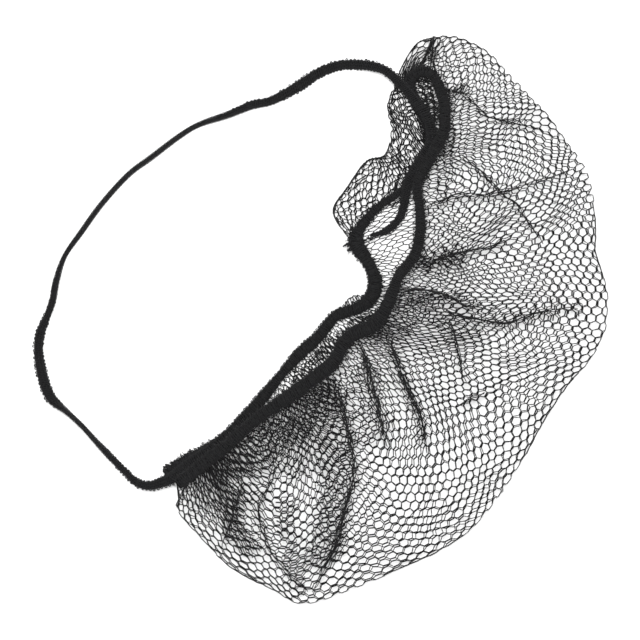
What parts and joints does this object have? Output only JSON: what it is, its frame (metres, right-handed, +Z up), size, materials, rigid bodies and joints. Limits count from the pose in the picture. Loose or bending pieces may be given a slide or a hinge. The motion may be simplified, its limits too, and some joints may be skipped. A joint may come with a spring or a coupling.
{
  "type": "beard net",
  "caption": "Black honeycomb net pouch lying flat, its mouth gathered on an elastic rim, with an elastic head band sewn to both ends of the mouth.",
  "frame": {"origin": "centre of the bounding box, on the table that the net lies on", "axes": "+X from the head band over the mouth into the pouch, +Y along the mouth, +Z up from the table"},
  "size_m": [0.1988, 0.2262, 0.0144],
  "materials": {
    "net_thread": "black nylon net thread, slightly glossy",
    "rim_elastic": "black knitted elastic under gathered net",
    "head_elastic": "black knitted elastic, matt and slightly fuzzy"
  },
  "bodies": {
    "root": {"net_bag": "net_thread", "rim_band": "rim_elastic", "head_band": "head_elastic"}
  },
  "joints": []
}
